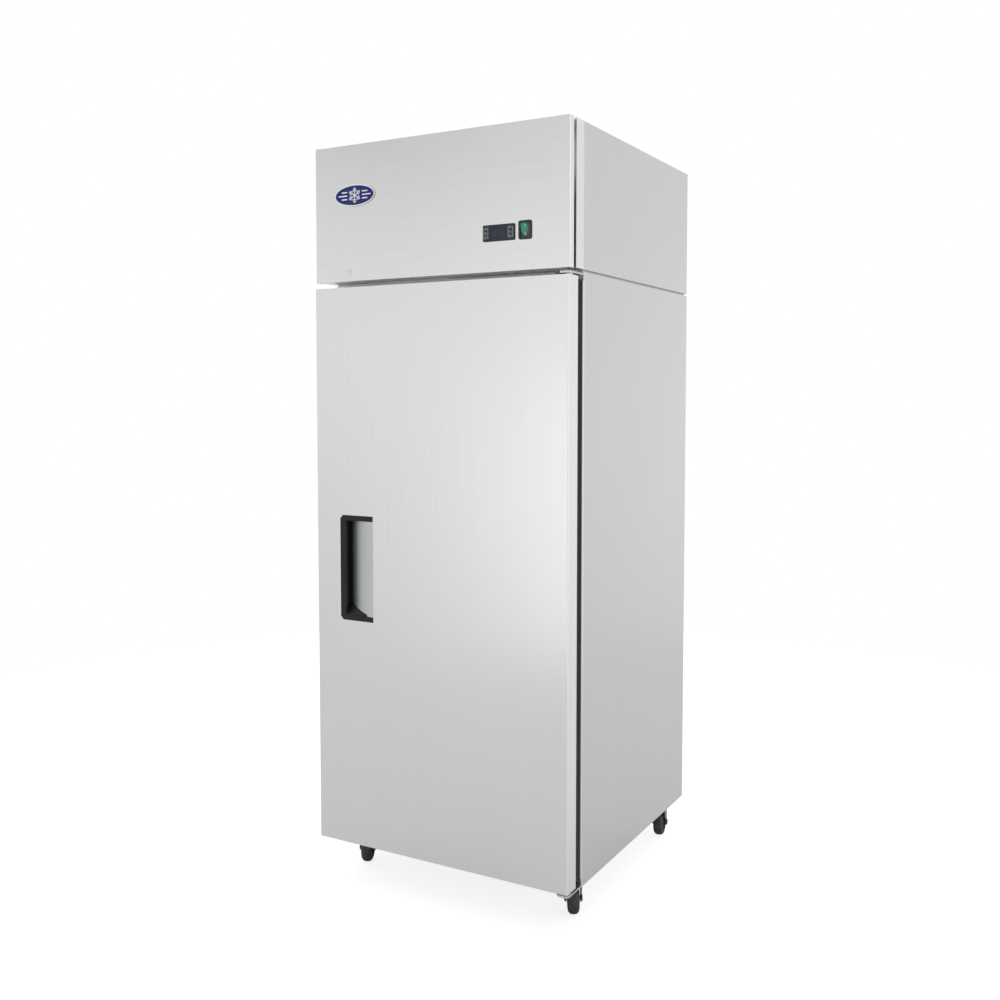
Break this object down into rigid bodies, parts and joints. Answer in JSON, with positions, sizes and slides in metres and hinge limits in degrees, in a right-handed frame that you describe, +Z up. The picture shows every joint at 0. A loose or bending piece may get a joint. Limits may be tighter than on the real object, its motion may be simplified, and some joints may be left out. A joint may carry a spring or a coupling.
{
  "type": "reach-in refrigerator",
  "caption": "Upright stainless-steel reach-in refrigerator with a solid hinged door, recessed handle, top-mounted cooling unit behind a control panel, and swivel casters.",
  "frame": {"origin": "centre of the footprint on the floor, under the caster wheels", "axes": "+Z up, -Y out of the door's face, +X to the right as seen from the front, on the door's hinge side"},
  "size_m": [0.7576, 0.8, 1.98],
  "materials": {
    "door_steel": "satin",
    "fascia_steel": "satin",
    "panel_steel": "satin",
    "header_steel": "satin",
    "zinc_steel": "matte",
    "liner_metal": "satin",
    "foam": "matte",
    "shelf_wire": "satin",
    "bracket_steel": "satin",
    "bright_screws": "satin",
    "coil_fins": "satin",
    "copper": "satin",
    "black_metal": "satin",
    "grey_metal": "satin",
    "white_plastic": "satin",
    "fan_plastic": "matte",
    "gasket_rubber": "matte",
    "liner_plastic": "matte",
    "handle_black": "satin",
    "handle_steel": "satin",
    "controller_slate": "satin",
    "key_plastic": "matte",
    "switch_black": "gloss",
    "rocker_green": "gloss",
    "emblem_blue": "gloss",
    "lock_chrome": "polished",
    "wheel_rubber": "matte",
    "caster_black": "satin",
    "pedal_black": "satin",
    "gland_plastic": "matte"
  },
  "bodies": {
    "cabinet": {"left_side_panel": "panel_steel", "right_side_panel": "panel_steel", "rear_panel": "zinc_steel", "floor_pan": "zinc_steel", "top_deck": "zinc_steel", "face_frame": "panel_steel", "cabinet_insulation": "foam", "inner_liner": "liner_metal", "shelf_standards": "bright_screws", "shelf_lower": "shelf_wire", "shelf_middle": "shelf_wire", "shelf_upper": "shelf_wire", "evaporator_cover": "white_plastic", "evaporator_coil": "coil_fins", "evaporator_fan_motor": "grey_metal", "header_frame": "header_steel", "header_left_panel": "panel_steel", "header_right_panel": "panel_steel", "header_rear_grille": "zinc_steel", "compressor": "black_metal", "condenser_coil": "coil_fins", "condenser_fan_motor": "grey_metal", "refrigerant_pipes": "copper", "electrical_box": "grey_metal", "cord_gland": "gland_plastic", "upper_hinge_bracket": "bracket_steel", "lower_hinge_bracket": "bracket_steel", "caster_plates": "bracket_steel", "fasteners": "bright_screws"},
    "door": {"door_skin": "door_steel", "door_insulation": "foam", "door_liner": "liner_plastic", "door_gasket": "gasket_rubber", "handle_frame": "handle_black", "handle_scoop": "handle_steel"},
    "fascia": {"fascia_panel": "fascia_steel", "controller_housing": "controller_slate", "switch_housing": "switch_black", "emblem_plate": "emblem_blue", "lock_barrel": "lock_chrome"},
    "lock": {"lock_cam": "lock_chrome"},
    "switch": {"switch_rocker": "rocker_green"},
    "condenser_fan": {"condenser_fan_blade": "fan_plastic"},
    "evaporator_fan": {"evaporator_fan_blade": "fan_plastic"},
    "left_top_key": {"key_left_top": "key_plastic"},
    "left_middle_key": {"key_left_middle": "key_plastic"},
    "left_bottom_key": {"key_left_bottom": "key_plastic"},
    "right_top_key": {"key_right_top": "key_plastic"},
    "right_middle_key": {"key_right_middle": "key_plastic"},
    "right_bottom_key": {"key_right_bottom": "key_plastic"},
    "front_left_caster": {"caster_fork_front_left": "caster_black"},
    "front_left_wheel": {"caster_wheel_front_left": "wheel_rubber"},
    "front_left_brake": {"brake_pedal_front_left": "pedal_black"},
    "front_right_caster": {"caster_fork_front_right": "caster_black"},
    "front_right_wheel": {"caster_wheel_front_right": "wheel_rubber"},
    "front_right_brake": {"brake_pedal_front_right": "pedal_black"},
    "rear_left_caster": {"caster_fork_rear_left": "caster_black"},
    "rear_left_wheel": {"caster_wheel_rear_left": "wheel_rubber"},
    "rear_right_caster": {"caster_fork_rear_right": "caster_black"},
    "rear_right_wheel": {"caster_wheel_rear_right": "wheel_rubber"}
  },
  "joints": [
    {"name": "door_hinge", "type": "hinge", "parent": "cabinet", "child": "door", "pos_m": [0.362, -0.372, 0.87], "axis": [0, 0, 1], "range_deg": [0, 110], "stiffness_Nm_per_rad": 2, "springref_deg": -20.05},
    {"name": "fascia_hinge", "type": "hinge", "parent": "cabinet", "child": "fascia", "pos_m": [0, -0.37, 1.972], "axis": [-1, 0, 0], "range_deg": [0, 75]},
    {"name": "lock_turn", "type": "hinge", "parent": "fascia", "child": "lock", "pos_m": [-0.272, -0.385, 1.653], "axis": [0, 1, 0], "range_deg": [0, 90]},
    {"name": "switch_rock", "type": "hinge", "parent": "fascia", "child": "switch", "pos_m": [0.257, -0.3926, 1.723], "axis": [-1, 0, 0], "range_deg": [0, 12]},
    {"name": "press_left_top_key", "type": "slide", "parent": "fascia", "child": "left_top_key", "axis": [0, 1, 0], "range_m": [0, 0.0007], "stiffness_N_per_m": 200, "springref_m": -0.0005},
    {"name": "press_left_middle_key", "type": "slide", "parent": "fascia", "child": "left_middle_key", "axis": [0, 1, 0], "range_m": [0, 0.0007], "stiffness_N_per_m": 200, "springref_m": -0.0005},
    {"name": "press_left_bottom_key", "type": "slide", "parent": "fascia", "child": "left_bottom_key", "axis": [0, 1, 0], "range_m": [0, 0.0007], "stiffness_N_per_m": 200, "springref_m": -0.0005},
    {"name": "press_right_top_key", "type": "slide", "parent": "fascia", "child": "right_top_key", "axis": [0, 1, 0], "range_m": [0, 0.0007], "stiffness_N_per_m": 200, "springref_m": -0.0005},
    {"name": "press_right_middle_key", "type": "slide", "parent": "fascia", "child": "right_middle_key", "axis": [0, 1, 0], "range_m": [0, 0.0007], "stiffness_N_per_m": 200, "springref_m": -0.0005},
    {"name": "press_right_bottom_key", "type": "slide", "parent": "fascia", "child": "right_bottom_key", "axis": [0, 1, 0], "range_m": [0, 0.0007], "stiffness_N_per_m": 200, "springref_m": -0.0005},
    {"name": "condenser_fan_spin", "type": "hinge", "parent": "cabinet", "child": "condenser_fan", "pos_m": [0.16, -0.17, 1.768], "axis": [0, -1, 0], "continuous": true},
    {"name": "evaporator_fan_spin", "type": "hinge", "parent": "cabinet", "child": "evaporator_fan", "pos_m": [0, 0.16, 1.478], "axis": [0, -1, 0], "continuous": true},
    {"name": "front_left_swivel", "type": "hinge", "parent": "cabinet", "child": "front_left_caster", "pos_m": [-0.326, -0.258, 0.1], "axis": [0, 0, 1], "continuous": true},
    {"name": "front_left_roll", "type": "hinge", "parent": "front_left_caster", "child": "front_left_wheel", "pos_m": [-0.33699, -0.23444, 0.04], "axis": [-0.9063, -0.4226, 0], "continuous": true},
    {"name": "front_left_brake", "type": "hinge", "parent": "front_left_caster", "child": "front_left_brake", "pos_m": [-0.35974, -0.24504, 0.086], "axis": [0.4226, -0.9063, 0], "range_deg": [0, 20]},
    {"name": "front_right_swivel", "type": "hinge", "parent": "cabinet", "child": "front_right_caster", "pos_m": [0.326, -0.258, 0.1], "axis": [0, 0, 1], "continuous": true},
    {"name": "front_right_roll", "type": "hinge", "parent": "front_right_caster", "child": "front_right_wheel", "pos_m": [0.31339, -0.23526, 0.04], "axis": [-0.8746, -0.4848, 0], "continuous": true},
    {"name": "front_right_brake", "type": "hinge", "parent": "front_right_caster", "child": "front_right_brake", "pos_m": [0.29144, -0.24743, 0.086], "axis": [0.4848, -0.8746, 0], "range_deg": [0, 20]},
    {"name": "rear_left_swivel", "type": "hinge", "parent": "cabinet", "child": "rear_left_caster", "pos_m": [-0.326, 0.33, 0.1], "axis": [0, 0, 1], "continuous": true},
    {"name": "rear_left_roll", "type": "hinge", "parent": "rear_left_caster", "child": "rear_left_wheel", "pos_m": [-0.34091, 0.3513, 0.04], "axis": [-0.8192, -0.5736, 0], "continuous": true},
    {"name": "rear_right_swivel", "type": "hinge", "parent": "cabinet", "child": "rear_right_caster", "pos_m": [0.326, 0.33, 0.1], "axis": [0, 0, 1], "continuous": true},
    {"name": "rear_right_roll", "type": "hinge", "parent": "rear_right_caster", "child": "rear_right_wheel", "pos_m": [0.32059, 0.35543, 0.04], "axis": [-0.9781, -0.2079, 0], "continuous": true}
  ]
}
